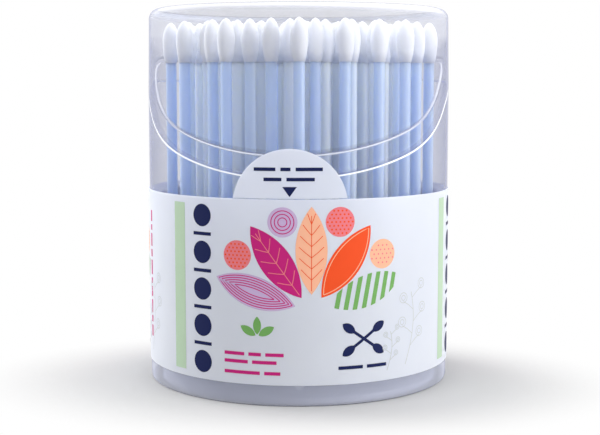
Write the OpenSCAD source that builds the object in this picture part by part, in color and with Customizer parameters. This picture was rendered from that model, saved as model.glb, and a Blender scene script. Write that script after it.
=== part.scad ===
// Round clear tub of cotton swabs with a swept flip lid, a wrapped film label and a peel tab.
// The front faces -Y, the hinge is at +Y, and the tub stands on z = 0.

/* [Tub] */
// Outside diameter of the tub and of the closed lid
body_d = 66; // [63:0.5:72]
// Thickness of the tub wall
wall = 1.0; // [0.8:0.05:1.3]
// Height of the floor's upper face
floor_z = 2.3; // [2:0.1:3]
// Thickness of the floor
floor_t = 1.1; // [0.9:0.1:1.4]
// Width of the foot ring that the tub stands on
foot_w = 1.8; // [1.2:0.1:3]
// Radius of the outer edge at the foot
foot_round = 0.7; // [0.5:0.1:1.6]
// Radius of the inner corner round the floor
floor_round = 1.5; // [0.8:0.1:2.5]

/* [Seam] */
// Height of the lid at its front, from the seam to the lid's top
lid_front_h = 34.7; // [33:0.1:37]
// Distance from the front wall over which the seam is a straight ramp
ramp_run = 10; // [6:0.5:14]
// Angle of that ramp
ramp_angle = 24; // [20:1:28]
// Steepest angle of the seam, at the sides
steep_angle = 43.5; // [40:0.5:46]
// Radius of the hollow bend below the steepest point
low_bend_r = 43; // [38:1:46]
// Radius of the round bend above it
high_bend_r = 24.7; // [20:0.5:27]
// Open gap between the lid's edge and the tub's shoulder
seam_gap = 0.15; // [0.1:0.05:0.3]

/* [Neck] */
// Height of the neck that stands up inside the lid
neck_h = 4.6; // [4:0.1:5.2]
// How far the neck's edge lags behind the seam, towards the back
neck_lag = 1.9; // [1.2:0.1:2.4]
// Thickness of the neck
neck_t = 0.9; // [0.7:0.05:1.1]
// Clearance round the neck inside the lid
neck_gap = 0.35; // [0.3:0.05:0.5]
// Height of the thick shoulder below the seam, on the inside
shoulder_h = 1.2; // [0.8:0.1:2]

/* [Lid] */
// Thickness of the lid wall at its lower edge
lid_wall = 1.0; // [0.85:0.05:1.3]
// Thickness of the lid's flat top
lid_top_t = 1.2; // [0.9:0.1:1.5]
// Room between the swabs and the underside of the lid's top
head_room = 1.65; // [1.5:0.05:6]
// Radius of the lid's upper edge, outside
lid_round = 3.5; // [2.5:0.1:5]
// How much the lid's radius shrinks from its lower edge to its top
lid_draft = 0.25; // [0.1:0.05:0.35]

/* [Latch] */
// Height of the snap bead above the seam's front
latch_rise = 2.1; // [1.8:0.1:2.4]
// How far the bead stands out from the neck
bead_out = 0.47; // [0.4:0.01:0.5]
// Half the height of the bead
bead_half_h = 0.6; // [0.4:0.05:0.7]
// Arc of the bead across the front, in degrees
bead_arc = 40; // [20:2:44]
// Depth of the groove in the lid that the bead sits in
groove_depth = 0.3; // [0.25:0.01:0.4]
// Room above and below the bead in that groove
groove_room = 0.3; // [0.25:0.05:0.4]

/* [Hinge] */
// Distance of the hinge axis from the outside of the wall
hinge_out = 1.9; // [1.8:0.05:2.3]
// Radius of the lid's knuckle
knuckle_r = 1.5; // [1.3:0.05:1.6]
// Length of the knuckle
knuckle_len = 8; // [6:0.5:12]
// Radius of the pin stubs moulded on the knuckle's ends
pin_r = 0.8; // [0.6:0.05:0.9]
// Radial clearance of the stubs in their holes
pin_gap = 0.06; // [0.03:0.01:0.1]
// Radius of the tub's two ears
ear_r = 1.7; // [1.6:0.05:1.75]
// Thickness of each ear
ear_t = 2.5; // [1.5:0.1:3]
// Side clearance between knuckle and ear
ear_gap = 0.3; // [0.2:0.05:0.5]
// Height of the ear's root on the tub wall
ear_root_h = 6; // [4:0.5:9]
// Height of the lid's web above the axis
web_h = 3.6; // [3:0.1:5]

/* [Label] */
// Thickness of the label film
film_t = 0.2; // [0.15:0.05:0.3]
// Thickness of the adhesive under it
glue_t = 0.05; // [0.03:0.01:0.1]
// Height of the label's lower edge
label_low_z = 4.4; // [3.5:0.1:6]
// Distance of the label's upper edge below the seam's front
label_drop = 4.1; // [3.6:0.1:7]
// Width of the glued lap at the back
lap_w = 8; // [5:0.5:10]
// Radius of the peel tab
tab_r = 11.8; // [10.5:0.1:13]
// How far the peel tab rises above the label
tab_rise = 10; // [8:0.1:11]
// Width of the tear line between the tab and the label
tear_gap = 0.15; // [0.1:0.05:0.3]

/* [Print] */
// Angle from one printed panel to the next
panel_step = 114; // [112:1:116]
// Bare strip along the label's edges
print_edge = 1.4; // [1:0.1:3]
// Width of the pale upright bar
bar_w = 3.4; // [2:0.1:4]
// Space between the upright bar and the dark column
column_gap = 2.6; // [1.5:0.1:4]
// Width of the beads in the dark column
column_w = 4.6; // [3:0.1:5]
// Least space between two beads
bead_gap = 2; // [1.6:0.1:4]
// Space between the dark column and the fan of petals
fan_gap = 1.3; // [1:0.1:3]
// Length of a petal in the printed fan
petal_len = 17.6; // [15:0.2:18]
// Space between two petals where they are widest
petal_gap = 1.5; // [1.3:0.1:2.5]
// Distance from the fan's centre to the petals
petal_start = 3.4; // [3.2:0.1:3.8]
// Diameter of the dots between the petals
dot_d = 6; // [3:0.1:7]
// Number of stripes across a striped petal
stripes = 7; // [5:1:9]
// Thickness of the short printed dashes
dash_t = 0.7; // [0.4:0.05:0.9]
// Space between two dashes in a row
dash_gap = 0.9; // [0.6:0.05:1.5]
// Step between two rows of dashes
row_step = 2; // [1.4:0.1:2.4]
// Length of the drawn swabs that cross each other
sign_len = 11; // [8:0.5:12]

/* [Swabs] */
// Length of a swab over its tips
swab_len = 75.5; // [73:0.5:76]
// Diameter of the stick
stick_d = 2.3; // [2:0.05:2.6]
// Largest diameter of a cotton tip
tip_d = 3.7; // [3.2:0.1:4.2]
// Length of a cotton tip
tip_len = 8.8; // [8:0.1:11]
// Cotton beyond the stick's end
tip_over = 2.6; // [2.4:0.1:4]
// Room between the cotton and the stick
tip_gap = 0.05; // [0.03:0.01:0.08]
// Spacing of the swabs: each stands on this squared times pi
swab_pitch = 3.03; // [2.9:0.01:3.3]
// Room between the outer swabs and the neck
swab_room = 0.2; // [0.1:0.1:1]
// Turn of the whole bundle about the tub's axis
swab_turn = -3.5; // [-180:0.5:180]

/* [Hidden] */
$fn = 96;

body_r = body_d / 2;
tub_ir = body_r - wall;
lid_ir = body_r - lid_wall;
neck_or = lid_ir - neck_gap;
neck_ir = neck_or - neck_t;
far = 2 * body_d;
cut = 1;
bend_steps = 12;
swab_foot_z = floor_z + tip_gap;
total_h = swab_foot_z + swab_len + head_room + lid_top_t;

// The seam in the (y, z) plane: a ramp, a hollow bend, a round bend, then level to the back.
seam_front_z = total_h - lid_front_h;
ramp_end = [-body_r + ramp_run, seam_front_z + ramp_run * tan(ramp_angle)];
low_centre = ramp_end + low_bend_r * [-sin(ramp_angle), cos(ramp_angle)];
steep_point = low_centre + low_bend_r * [sin(steep_angle), -cos(steep_angle)];
high_centre = steep_point + high_bend_r * [sin(steep_angle), -cos(steep_angle)];
seam_back_z = high_centre[1] + high_bend_r;

// The lid's latch and hinge follow the seam.
latch_z = seam_front_z + latch_rise;
hinge_y = body_r + hinge_out;
hinge_z = seam_back_z;

film_ir = body_r + glue_t;
film_or = film_ir + film_t;
label_high_z = seam_front_z - label_drop;
tab_low_z = label_high_z + tear_gap;
tab_top_z = label_high_z + tab_rise;

// The label's drawing is laid out in millimetres on a label this high, and scaled with the label.
drawing_h = 37.5;
drawing_scale = (label_high_z - label_low_z) / drawing_h;
drawing_low = print_edge;
drawing_high = drawing_h - print_edge;
petal_first = 162;
petal_turn = 36;
petal_w = 2 * (petal_start + petal_len / 2) * tan(petal_turn / 2) - petal_gap;
column_u = -19.2;
bar_u = column_u - column_w / 2 - column_gap - bar_w / 2;
fan_reach = petal_start + petal_len;
fan_u = column_u + column_w / 2 + fan_gap - fan_reach * cos(petal_first);
fan_v = drawing_high - fan_reach;

swab_r = tip_d / 2;
swab_ring_r = neck_ir - swab_room - swab_r;
swab_count = floor(pow(swab_ring_r / swab_pitch, 2) + 0.5);
golden_angle = 137.508;

clear_pp = [0.80, 0.82, 0.89, 0.45];
film_white = [0.93, 0.94, 0.98];
stick_blue = [0.66, 0.75, 0.93];
cotton_white = [0.96, 0.97, 0.99];

// Shared shapes

function on_arc(centre, r, angle) = centre + r * [cos(angle), sin(angle)];

function arc_points(centre, r, from, to, steps) =
  [for (i = [0 : steps]) on_arc(centre, r, from + (to - from) * i / steps)];

function seam_points() = concat(
  [[-far, seam_front_z - (far - body_r) * tan(ramp_angle)]],
  arc_points(low_centre, low_bend_r, ramp_angle - 90, steep_angle - 90, bend_steps),
  arc_points(high_centre, high_bend_r, 90 + steep_angle - steep_angle / bend_steps, 90, bend_steps - 1),
  [[far, seam_back_z]]
);

// Everything under the seam, or under a copy of it that is moved by shift.
module below_seam(shift = [0, 0]) {
  rotate([90, 0, 90])
    linear_extrude(height = 2 * far, center = true)
      translate(shift) polygon(concat(seam_points(), [[far, -far], [-far, -far]]));
}

module above_seam(shift = [0, 0]) {
  rotate([90, 0, 90])
    linear_extrude(height = 2 * far, center = true)
      translate(shift) polygon(concat(seam_points(), [[far, far], [-far, far]]));
}

// A half section with its outer corner rounded, from the axis to r and from z = low to high.
module rounded_half(r, low, high, round) {
  square_h = high - low;
  translate([0, low]) square([r - round, square_h]);
  translate([0, low]) square([r, square_h - round]);
  translate([r - round, high - round]) circle(r = round);
}

module flipped(z) {
  translate([0, z]) mirror([0, 1]) translate([0, -z]) children();
}

module across(length) {
  rotate([90, 0, 90]) linear_extrude(height = length, center = true) children();
}

module front_arc(angle) {
  rotate([0, 0, -90 - angle / 2]) rotate_extrude(angle = angle) children();
}

// Tub

module tub_blank() {
  blank_h = seam_back_z + neck_h + cut;
  rotate_extrude() flipped(blank_h / 2) rounded_half(body_r, 0, blank_h, foot_round);
}

module tub_inside() {
  inside_h = total_h;
  intersection() {
    below_seam([0, -shoulder_h]);
    rotate_extrude()
      flipped((floor_z + inside_h) / 2) rounded_half(tub_ir, floor_z, inside_h, floor_round);
  }
  translate([0, 0, floor_z + floor_round]) cylinder(r = neck_ir, h = inside_h);
}

module neck_outside() {
  intersection() {
    above_seam();
    difference() {
      cylinder(r = far / 2, h = far);
      translate([0, 0, -cut]) cylinder(r = neck_or, h = far + 2 * cut);
    }
  }
}

module foot_recess() {
  recess_r = body_r - foot_round - foot_w;
  translate([0, 0, -cut]) cylinder(r = recess_r, h = floor_z - floor_t + cut);
}

module latch_bead() {
  root = neck_or - neck_t / 2;
  front_arc(bead_arc)
    polygon([
      [root, latch_z - bead_half_h], [neck_or, latch_z - bead_half_h],
      [neck_or + bead_out, latch_z],
      [neck_or, latch_z + bead_half_h], [root, latch_z + bead_half_h]
    ]);
}

module ear_profile() {
  wall_y = body_r - wall / 2;
  difference() {
    union() {
      translate([hinge_y, hinge_z]) circle(r = ear_r);
      polygon([
        [wall_y, hinge_z - seam_gap], [hinge_y, hinge_z - seam_gap],
        [hinge_y + ear_r, hinge_z], [wall_y, hinge_z - ear_root_h]
      ]);
    }
    translate([hinge_y, hinge_z]) circle(r = pin_r + pin_gap);
  }
}

module tub() {
  color(clear_pp) {
    difference() {
      tub_blank();
      tub_inside();
      neck_outside();
      above_seam([neck_lag, neck_h]);
      foot_recess();
    }
    latch_bead();
    for (side = [-1, 1])
      translate([side * (knuckle_len / 2 + ear_gap + ear_t / 2), 0, 0]) across(ear_t) ear_profile();
  }
}

// Lid

module lid_outside() {
  base_z = seam_front_z - cut;
  top_r = body_r - lid_draft;
  polygon([[0, base_z], [body_r, base_z], [top_r, total_h - lid_round], [0, total_h - lid_round]]);
  rounded_half(top_r, total_h - 2 * lid_round, total_h, lid_round);
}

module lid_inside() {
  inner_round = max(lid_round - lid_wall, 0.5);
  rounded_half(lid_ir - lid_draft, seam_front_z - 2 * cut, total_h - lid_top_t, inner_round);
  neck_zone_h = seam_back_z + neck_h + cut - seam_front_z;
  translate([0, seam_front_z - 2 * cut]) square([lid_ir, neck_zone_h + 2 * cut]);
}

module latch_groove() {
  groove_half = bead_half_h + groove_room;
  front_arc(bead_arc + 4)
    polygon([
      [lid_ir - cut, latch_z - groove_half], [lid_ir, latch_z - groove_half],
      [lid_ir + groove_depth, latch_z - bead_half_h], [lid_ir + groove_depth, latch_z + bead_half_h],
      [lid_ir, latch_z + groove_half], [lid_ir - cut, latch_z + groove_half]
    ]);
}

module knuckle_profile() {
  wall_y = body_r - lid_wall / 2;
  translate([hinge_y, hinge_z]) circle(r = knuckle_r);
  polygon([
    [wall_y, hinge_z + 2 * seam_gap], [hinge_y, hinge_z + 2 * seam_gap],
    [hinge_y + knuckle_r * cos(45), hinge_z + knuckle_r * sin(45)], [wall_y, hinge_z + web_h]
  ]);
}

module lid() {
  color(clear_pp) {
    difference() {
      rotate_extrude() lid_outside();
      rotate_extrude() lid_inside();
      below_seam([0, seam_gap]);
      latch_groove();
    }
    across(knuckle_len) knuckle_profile();
    translate([0, hinge_y, hinge_z]) rotate([0, 90, 0])
      cylinder(r = pin_r, h = knuckle_len + 2 * ear_gap + 2 * ear_t - seam_gap, center = true);
  }
}

// Label film

module film_ring(low, high) {
  translate([0, 0, low]) difference() {
    cylinder(r = film_or, h = high - low);
    translate([0, 0, -cut]) cylinder(r = film_ir, h = high - low + 2 * cut);
  }
}

// Stands a flat shape on the film at the arc length u from the front and the height z.
module on_film(u, z) {
  widest = max(tab_r, petal_len * drawing_scale / 2);
  depth = film_ir - sqrt(film_ir * film_ir - widest * widest) + cut;
  rotate([0, 0, u / film_or * 180 / PI])
    translate([0, -film_ir + depth, z])
      rotate([90, 0, 0])
        linear_extrude(height = depth + film_t + cut) children();
}

// The same in the drawing's own sizes, from the label's lower edge.
module drawn(u, v) {
  on_film(u * drawing_scale, label_low_z + v * drawing_scale) scale(drawing_scale) children();
}

module printed(low = label_low_z, high = label_high_z) {
  intersection() {
    film_ring(low, high);
    for (panel = [-1 : 1]) rotate([0, 0, panel * panel_step]) children();
  }
}

module label_lap() {
  lap_angle = lap_w / film_or * 180 / PI;
  rotate([0, 0, 90 - lap_angle / 2])
    rotate_extrude(angle = lap_angle)
      translate([film_or - film_t / 2, label_low_z]) square([1.5 * film_t, label_high_z - label_low_z]);
}

module label_band() {
  color(film_white) {
    difference() {
      film_ring(label_low_z, label_high_z);
      for (panel = [-1 : 1]) rotate([0, 0, panel * panel_step]) {
        bar_marks();
        navy_marks();
        magenta_marks();
        green_marks();
        for (i = [0 : 3]) petal(i);
        for (i = [0 : 3]) dot(i);
      }
    }
    label_lap();
  }
}

module tab_outline() {
  on_film(0, tab_top_z - tab_r) circle(r = tab_r);
}

module label_tab() {
  color(film_white) difference() {
    intersection() {
      film_ring(tab_low_z, tab_top_z + cut);
      tab_outline();
    }
    tab_marks();
  }
}

// Printed fields

// A pointed petal between two arcs, standing on its length.
module lens(length, width) {
  r = (length * length + width * width) / (4 * width);
  intersection() {
    translate([0, r - width / 2]) circle(r = r);
    translate([0, width / 2 - r]) circle(r = r);
  }
}

module on_fan(i, reach) {
  a = petal_first - i * petal_turn;
  drawn(fan_u + reach * cos(a), fan_v + reach * sin(a)) rotate(a) children();
}

module petal(i) {
  on_fan(i, petal_start + petal_len / 2) lens(petal_len, petal_w);
}

module striped_petal(i) {
  stripe_step = petal_len / (stripes + 1);
  on_fan(i, petal_start + petal_len / 2) intersection() {
    lens(petal_len, petal_w);
    for (k = [1 : stripes])
      translate([k * stripe_step - petal_len / 2, 0]) rotate(-60)
        square([petal_w * 2, stripe_step / 2], center = true);
  }
}

module dot(i) {
  on_fan(i + 0.5, petal_start + 0.875 * petal_len) circle(d = dot_d);
}

// Where each dash of a row starts, for dashes of these lengths.
function row_starts(lengths) =
  [for (i = 0, at = 0; i < len(lengths); at = at + lengths[i] + dash_gap, i = i + 1) at];

module dashes(u, v, lengths) {
  starts = row_starts(lengths);
  for (i = [0 : len(lengths) - 1])
    drawn(u + starts[i] + lengths[i] / 2, v) square([lengths[i], dash_t], center = true);
}

// A swab drawn flat: a thin bar with an oval at each end.
module swab_sign(length) {
  oval_w = length / 6;
  oval_len = 1.8 * oval_w;
  square([length - oval_w, oval_w / 3], center = true);
  for (side = [-1, 1]) translate([side * (length - 0.9 * oval_len) / 2, 0]) lens(oval_len, oval_w);
}

// A sprig of three leaves that spring from one place.
module sprig(leaf_len) {
  for (turn = [30, 90, 150]) rotate(turn) translate([0.6 * leaf_len, 0]) lens(leaf_len, 0.45 * leaf_len);
}

module bar_marks() {
  drawn(bar_u, drawing_h / 2) square([bar_w, drawing_high - drawing_low], center = true);
}

module navy_marks() {
  beads = floor((drawing_high - drawing_low + bead_gap) / (column_w + bead_gap));
  bead_step = (drawing_high - drawing_low - column_w) / (beads - 1);
  for (i = [0 : beads - 1]) {
    bead_v = drawing_low + column_w / 2 + i * bead_step;
    drawn(column_u, bead_v) circle(d = column_w);
    if (i < beads - 1) drawn(column_u, bead_v + bead_step / 2) square([column_w, dash_t], center = true);
  }
  sign_u = fan_u + sign_len;
  drawn(sign_u, fan_v - 6) for (turn = [35, -35]) rotate(turn) swab_sign(sign_len);
  dashes(sign_u - sign_len / 2, drawing_low + row_step, [0.48, 0.42] * sign_len);
}

module magenta_marks() {
  rows_u = fan_u - 1.65 * sign_len;
  dashes(rows_u, drawing_low + 2.4 * row_step, [0.4, 0.24, 0.34] * sign_len);
  dashes(rows_u, drawing_low + 1.6 * row_step, [0.47, 0.46] * sign_len);
  dashes(rows_u, drawing_low + 0.5 * row_step, [0.7, 0.3] * sign_len);
}

module green_marks() {
  drawn(fan_u - sign_len, fan_v - 5.2) sprig(sign_len / 3);
  striped_petal(4);
}

// Marks on the peel tab: rows of dashes and the arrow that points at the place to press.
module tab_marks() {
  mark_scale = tab_rise / 10;
  row_z = (tab_low_z + tab_top_z) / 2;
  for (row = [[-7.2, 0.9, 4.4], [-1.8, 0.9, 2], [1.2, 0.9, 5.4], [-5.2, -1.1, 3.6], [-0.6, -1.1, 5.6]])
    on_film((row[0] + row[2] / 2) * mark_scale, row_z + row[1] * mark_scale)
      square([row[2], dash_t] * mark_scale, center = true);
  on_film(0, tab_low_z + dash_t / 2) scale(mark_scale) polygon([[-1.45, 2], [1.45, 2], [0, 0]]);
}

module print_bars() {
  color([0.72, 0.80, 0.71]) printed() bar_marks();
}

module print_navy() {
  color([0.05, 0.08, 0.30]) printed() navy_marks();
}

module print_magenta() {
  color([0.77, 0.10, 0.46]) printed() {
    magenta_marks();
    petal(1);
  }
}

module print_orange() {
  color([0.94, 0.32, 0.13]) printed() petal(3);
}

module print_peach() {
  color([0.98, 0.72, 0.60]) printed() {
    petal(2);
    dot(3);
  }
}

module print_lilac() {
  color([0.78, 0.70, 0.84]) printed() {
    petal(0);
    dot(1);
  }
}

module print_pink() {
  color([0.93, 0.50, 0.55]) printed() {
    dot(0);
    dot(2);
  }
}

module print_green() {
  color([0.45, 0.68, 0.38]) printed() green_marks();
}

module print_tab_marks() {
  color([0.05, 0.08, 0.30]) intersection() {
    film_ring(tab_low_z, tab_top_z + cut);
    tab_marks();
  }
}

// Swabs, set out as the seeds of a sunflower

module each_swab(zone) {
  first = round(zone * swab_count / 3);
  last = round((zone + 1) * swab_count / 3) - 1;
  for (i = [first : last])
    rotate([0, 0, swab_turn - i * golden_angle])
      translate([swab_pitch * sqrt(i + 0.5), 0, swab_foot_z]) children();
}

module stick() {
  translate([0, 0, tip_over]) cylinder(d = stick_d, h = swab_len - 2 * tip_over);
}

// Radius of the cotton at the share t of its length from its end: a pointed arch up to the belly,
// then a taper to a thin skirt on the stick.
belly = 0.5;
arch_power = 0.7;
taper_power = 2;
skirt_t = 0.2;
function tip_radius(t) =
  t < belly ? swab_r * pow(sin(90 * t / belly), arch_power)
            : swab_r - (swab_r - stick_d / 2 - skirt_t) * pow((t - belly) / (1 - belly), taper_power);

module cotton_tip() {
  tip_steps = 8;
  difference() {
    rotate_extrude() polygon(concat(
      [[0, 0]],
      [for (i = [1 : tip_steps]) [tip_radius(i / tip_steps), tip_len * i / tip_steps]],
      [[0, tip_len]]
    ));
    translate([0, 0, tip_over - tip_gap]) cylinder(d = stick_d + 2 * tip_gap, h = tip_len);
  }
}

module sticks(zone) {
  color(stick_blue) each_swab(zone) stick();
}

module bottom_tips(zone) {
  color(cotton_white) each_swab(zone) cotton_tip();
}

module top_tips(zone) {
  color(cotton_white) each_swab(zone) translate([0, 0, swab_len]) mirror([0, 0, 1]) cotton_tip();
}

tub();
lid();
label_band();
label_tab();
print_bars();
print_navy();
print_magenta();
print_orange();
print_peach();
print_lilac();
print_pink();
print_green();
print_tab_marks();
sticks(0);  // sticks_inner
sticks(1);  // sticks_middle
sticks(2);  // sticks_outer
top_tips(0);  // top_tips_inner
top_tips(1);  // top_tips_middle
top_tips(2);  // top_tips_outer
bottom_tips(0);  // bottom_tips_inner
bottom_tips(1);  // bottom_tips_middle
bottom_tips(2);  // bottom_tips_outer
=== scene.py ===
"""Looks of the clear round tub of cotton swabs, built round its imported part.

Sizes are in millimetres, with z up. A turn is an angle round the tub in radians, counted from the front
towards the right."""

import math

import bmesh
import bpy
from mathutils import Matrix, Vector


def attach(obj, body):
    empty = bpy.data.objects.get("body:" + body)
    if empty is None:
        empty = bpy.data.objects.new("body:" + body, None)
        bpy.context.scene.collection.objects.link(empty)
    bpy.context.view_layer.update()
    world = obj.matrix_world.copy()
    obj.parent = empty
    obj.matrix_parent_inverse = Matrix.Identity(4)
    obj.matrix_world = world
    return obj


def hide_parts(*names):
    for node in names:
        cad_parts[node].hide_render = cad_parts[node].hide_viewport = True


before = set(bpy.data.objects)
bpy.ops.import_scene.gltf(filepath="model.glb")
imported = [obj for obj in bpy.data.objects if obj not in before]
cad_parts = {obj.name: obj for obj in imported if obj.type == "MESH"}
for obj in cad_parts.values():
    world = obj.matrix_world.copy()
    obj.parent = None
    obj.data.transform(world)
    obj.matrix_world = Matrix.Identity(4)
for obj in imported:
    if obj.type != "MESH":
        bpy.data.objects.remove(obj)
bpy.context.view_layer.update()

MM = 0.001

# Sizes of the tub and the lid
BODY_R = 33.0
WALL = 1.0
TOTAL_H = 80.7
FLOOR_TOP = 2.3
FLOOR_T = 1.1
FOOT_W = 1.8
FOOT_ROUND = 0.7
FLOOR_ROUND = 1.5
SEAM_FRONT = 46.0
SEAM_GAP = 0.15
RAMP_RUN = 10.0
RAMP_ANGLE = math.radians(24)
STEEP_ANGLE = math.radians(43.5)
LOW_BEND_R = 43.0
HIGH_BEND_R = 24.7
NECK_LAG = 1.9
NECK_H = 4.6
NECK_T = 0.9
NECK_GAP = 0.35
SHOULDER_H = 1.2
LID_TOP_T = 1.2
LID_ROUND = 2.1
LID_DRAFT = 0.25
EDGE_SOFT = 0.25
# Inset of a softened edge halfway round, as a share of its radius
SOFT_INSET = 0.29
BEAD_Z = SEAM_FRONT + 2.1
BEAD_OUT = 0.47
BEAD_HALF_H = 0.6
BEAD_HALF_ARC = math.radians(20)
GROOVE_DEPTH = 0.3
GROOVE_ROOM = 0.3
HINGE_Y = BODY_R + 1.9
KNUCKLE_R = 1.5
KNUCKLE_LEN = 8.0
PIN_R = 0.8
EAR_R = 1.7
EAR_T = 2.5
EAR_GAP = 0.3
EAR_ROOT_H = 6.0
WEB_H = 3.6
PLATE_BEVEL = 0.12
HEM_SOFT = 0.14
COLUMNS = 256

# Sizes of the label film and its print
FILM_IN = BODY_R + 0.05
FILM_T = 0.2
FILM_OUT = FILM_IN + FILM_T
INK_BED = 0.04
LABEL_LOW = 4.4
LABEL_HIGH = SEAM_FRONT - 4.1
LAP_W = 8.0
LAP_FADE = 0.012
FILM_SOFT = 0.05
FILM_COLUMNS = 480
TAB_R = 11.8
TAB_LOW = LABEL_HIGH + 0.15
TAB_TOP = LABEL_HIGH + 10.0
INK_LIFT = 0.02
OVER_LIFT = 0.034
PANEL_STEP = math.radians(114)
PRINT_LOW = LABEL_LOW + 1.4
PRINT_HIGH = LABEL_HIGH - 1.4
BAR_W = 3.4
COLUMN_U = -19.2
COLUMN_W = 4.6
BAR_U = COLUMN_U - COLUMN_W / 2 - 2.6 - BAR_W / 2
BEADS = 5
PETAL_LEN = 17.6
PETAL_START = 3.4
PETAL_FIRST = math.radians(162)
PETAL_TURN = math.radians(36)
PETAL_W = 2 * (PETAL_START + PETAL_LEN / 2) * math.tan(PETAL_TURN / 2) - 1.5
DOT_D = 6.0
DASH_T = 0.7
DASH_GAP = 0.9
ROW_STEP = 2.0
SIGN_LEN = 11.0
BOLD_LINE_W = 0.2
LINE_W = 0.16
FINE_LINE_W = 0.14
MARGIN_TURN = -math.radians(70)
MARGIN_W = 1.2
MARGIN_GAP = 0.7
# Lengths of the marks from the top down
MARGIN_MARKS = (2.4, 1.2, 2.8, 1.6, 3.2, 1.2, 2.2, 2.8, 1.4, 2.4)
# Start, height above the middle, and length of each dash
TAB_DASHES = (
    (-7.2, 0.9, 4.4),
    (-1.8, 0.9, 2),
    (1.2, 0.9, 5.4),
    (-5.2, -1.1, 3.6),
    (-0.6, -1.1, 5.6),
)
FAN_REACH = PETAL_START + PETAL_LEN
FAN_U = COLUMN_U + COLUMN_W / 2 + 1.3 - FAN_REACH * math.cos(PETAL_FIRST)
FAN_V = PRINT_HIGH - FAN_REACH
FRONT = (0,)
ALL_ROUND = (-1, 0, 1)

# Sizes of the swabs
SWABS = 90
SWAB_LEN = 75.5
SWAB_FOOT = FLOOR_TOP + 0.05
SWAB_PITCH = 3.03
SWAB_TURN = math.radians(-3.5)
GOLDEN_ANGLE = math.radians(137.508)
STICK_D = 2.3
TIP_D = 3.7
TIP_LEN = 8.8
TIP_OVER = 2.6
BELLY = 0.46
SKIRT_T = 0.1
TIP_CROWDING = 1.7
TUFT_H = 0.10

# Looks and colours
# The first look is painted light, white highlights and glow; the second is painted shade
LOOKS = ("gleam", "gloom", "inner", "dense", "thin")
# Painted highlight on the rings of the lid's rounded corner, from the top down
CORNER_HIGHLIGHT = (0, 0, 0, 0.7, 0.72, 0.68, 0.56, 0.4, 0.3, 0.22, 0.15)
CLEAR_TINTS = ((0.20, 0.22, 0.35), (0.24, 0.26, 0.41))
THICK_TINT = (0.62, 0.65, 0.80)
# Painted shade where the thick plastic turns away, along the foot's outline
THICK_OUTLINE_SHADE_TINT = (0.40, 0.42, 0.55)
# Colour of the painted shade in the dark lines
PAINTED_SHADE_TINT = (0.03, 0.05, 0.16)
# White of the painted highlights along the edges
PAINTED_LIGHT_WHITE = (0.97, 0.98, 1.0)
FILM_TINTS = ((0.74, 0.79, 0.96), (0.78, 0.825, 1.0))
STICK_TINTS = ((0.47, 0.585, 0.94), (0.54, 0.655, 0.97))
# Painted light: the paler colour of the sticks deep in the bundle, where the outer sticks shade them
PAINTED_LIGHT_STICK_TINT = (0.74, 0.835, 1.0)
COTTON_TINTS = ((0.88, 0.915, 1.0), (0.93, 0.955, 1.0))
INKS = {
    "pale_green": (0.47, 0.62, 0.45),
    "navy": (0.006, 0.012, 0.075),
    "magenta": (0.55, 0.015, 0.19),
    "orange": (0.87, 0.085, 0.017),
    "peach": (0.95, 0.48, 0.31),
    "lilac": (0.58, 0.44, 0.68),
    "pink": (0.84, 0.21, 0.24),
    "green": (0.17, 0.40, 0.11),
}
FAINT_INK = (0.62, 0.66, 0.72)
INK_SLOTS = {name: "print_" + name for name in INKS}
INK_NODES = {**INK_SLOTS, "pale_green": "print_bars"}

# Studio, in metres, with the camera's lens in millimetres
CAMERA_PLACE = (0.01524, -0.28141, 0.06494)
CAMERA_TILT = math.radians(90 - 6.1)
CAMERA_TURN = math.radians(3.037)
LENS = 75.96
FLOOR_R = 8
FLOOR_GREY = (0.46, 0.46, 0.46, 1)
FADE_START = 0.034
FADE_END = 0.062
FADE_STRETCH = (0.84, 1.2, 1)
FADE_SHIFT = (0, 0.0096, 0)
LAMP_AIM = Vector((0, 0, 0.04))

# Shape rules

RAMP_END = (-BODY_R + RAMP_RUN, SEAM_FRONT + RAMP_RUN * math.tan(RAMP_ANGLE))
LOW_CENTRE = (
    RAMP_END[0] - LOW_BEND_R * math.sin(RAMP_ANGLE),
    RAMP_END[1] + LOW_BEND_R * math.cos(RAMP_ANGLE),
)
STEEP_POINT = (
    LOW_CENTRE[0] + LOW_BEND_R * math.sin(STEEP_ANGLE),
    LOW_CENTRE[1] - LOW_BEND_R * math.cos(STEEP_ANGLE),
)
HIGH_CENTRE = (
    STEEP_POINT[0] + HIGH_BEND_R * math.sin(STEEP_ANGLE),
    STEEP_POINT[1] - HIGH_BEND_R * math.cos(STEEP_ANGLE),
)
HINGE_Z = HIGH_CENTRE[1] + HIGH_BEND_R


def seam_height(y):
    """Height of the seam at the distance y behind the axis: ramp, hollow bend, round bend, level."""
    if y <= RAMP_END[0]:
        return SEAM_FRONT + (y + BODY_R) * math.tan(RAMP_ANGLE)
    if y <= STEEP_POINT[0]:
        return LOW_CENTRE[1] - math.sqrt(LOW_BEND_R**2 - (y - LOW_CENTRE[0]) ** 2)
    if y <= HIGH_CENTRE[0]:
        return HIGH_CENTRE[1] + math.sqrt(HIGH_BEND_R**2 - (y - HIGH_CENTRE[0]) ** 2)
    return HINGE_Z


def seam_at(radius, turn):
    """Height of the seam on a round wall."""
    return seam_height(-radius * math.cos(turn))


def neck_edge_at(radius, turn):
    """Height of the neck's edge, which follows the seam a little further forward."""
    return seam_height(-radius * math.cos(turn) - NECK_LAG) + NECK_H


def on_front_arc(turn, half_arc):
    """1 inside an arc across the front, falling to 0 over one degree at its ends."""
    past = abs(math.remainder(turn, 2 * math.pi)) - half_arc
    return min(max(1 - past / math.radians(1), 0), 1)


def bead_bulge(turn, z):
    """How far the snap bead stands out of the neck."""
    return BEAD_OUT * on_front_arc(turn, BEAD_HALF_ARC) * max(1 - abs(z - BEAD_Z) / BEAD_HALF_H, 0)


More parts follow.
